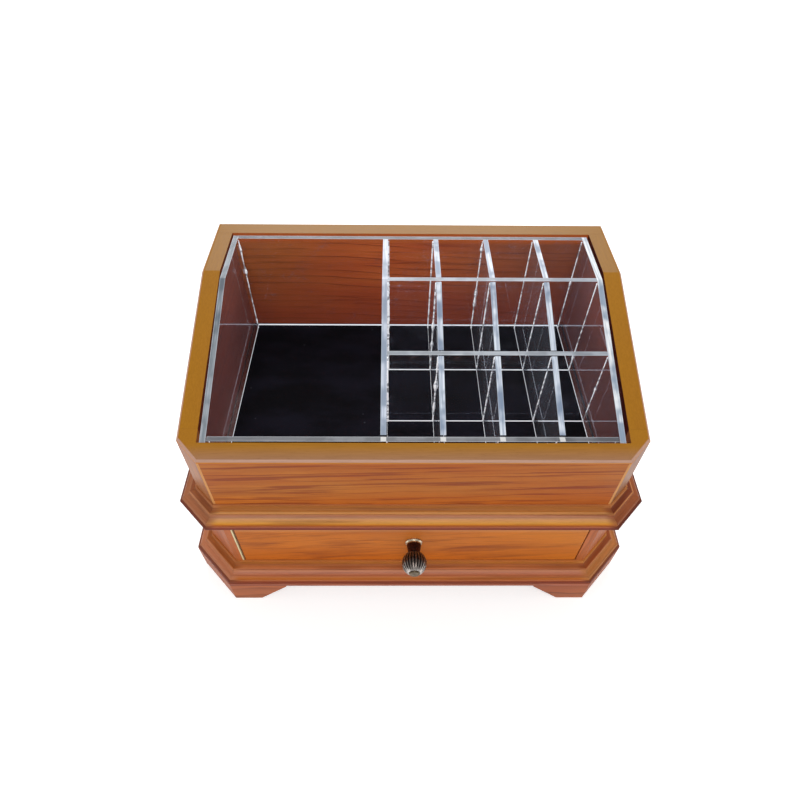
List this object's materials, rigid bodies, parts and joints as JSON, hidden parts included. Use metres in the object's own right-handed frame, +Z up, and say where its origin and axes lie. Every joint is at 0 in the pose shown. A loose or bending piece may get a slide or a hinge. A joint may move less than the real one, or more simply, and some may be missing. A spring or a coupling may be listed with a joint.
{
  "type": "jewelry box with drawer",
  "caption": "Wooden jewelry box: clipped front corners, mitred mouldings, bracket feet, a sloping open top with a clear lift-out divided insert, and a drawer with a fluted knob.",
  "frame": {"origin": "middle of the overall box on plan, at the height of the ground under the feet", "axes": "+X to the right of a person in front of the box, -Y towards that person, +Z up"},
  "size_m": [0.2678, 0.1798, 0.1614],
  "materials": {
    "stained_wood": "satin lacquer over an orange-brown stain",
    "plain_wood": "planed, unfinished",
    "velvet": "short black pile",
    "aged_brass": "antiqued, dark in the flutes",
    "screw_steel": "zinc plated",
    "clear_sheet": "polished clear sheet"
  },
  "bodies": {
    "case": {"base_board": "stained_wood", "foot_front_left": "stained_wood", "foot_front_right": "stained_wood", "foot_back_left": "stained_wood", "foot_back_right": "stained_wood", "foot_glue_blocks": "plain_wood", "base_moulding_left": "stained_wood", "base_moulding_corner_left": "stained_wood", "base_moulding_front": "stained_wood", "base_moulding_corner_right": "stained_wood", "base_moulding_right": "stained_wood", "lower_post_left": "stained_wood", "lower_post_right": "stained_wood", "lower_side_left": "stained_wood", "lower_side_right": "stained_wood", "lower_back": "stained_wood", "lower_front_rail": "stained_wood", "drawer_runner_left": "plain_wood", "drawer_runner_right": "plain_wood", "drawer_guide_left": "plain_wood", "drawer_guide_right": "plain_wood", "drawer_stop_blocks": "plain_wood", "deck_board": "stained_wood", "waist_moulding_left": "stained_wood", "waist_moulding_corner_left": "stained_wood", "waist_moulding_front": "stained_wood", "waist_moulding_corner_right": "stained_wood", "waist_moulding_right": "stained_wood", "upper_back_wall": "stained_wood", "upper_side_left": "stained_wood", "upper_side_right": "stained_wood", "upper_post_left": "stained_wood", "upper_post_right": "stained_wood", "upper_front_panel": "stained_wood", "upper_front_rail": "stained_wood", "tray_floor_board": "plain_wood", "tray_velvet": "velvet"},
    "drawer": {"drawer_front": "stained_wood", "drawer_side_left": "plain_wood", "drawer_side_right": "plain_wood", "drawer_back": "plain_wood", "drawer_bottom": "plain_wood", "drawer_velvet": "velvet", "knob": "aged_brass", "knob_screw": "screw_steel"},
    "insert": {"insert_wall_left": "clear_sheet", "insert_wall_right": "clear_sheet", "insert_wall_back": "clear_sheet", "insert_wall_front": "clear_sheet", "insert_main_divider": "clear_sheet", "insert_divider_1": "clear_sheet", "insert_divider_2": "clear_sheet", "insert_divider_3": "clear_sheet", "insert_rail_back": "clear_sheet", "insert_rail_front": "clear_sheet"}
  },
  "joints": [
    {"name": "drawer_slide", "type": "slide", "parent": "case", "child": "drawer", "axis": [0, -1, 0], "range_m": [0, 0.105]},
    {"name": "insert_lift", "type": "slide", "parent": "case", "child": "insert", "axis": [0, 0, 1], "range_m": [0, 0.08]}
  ]
}
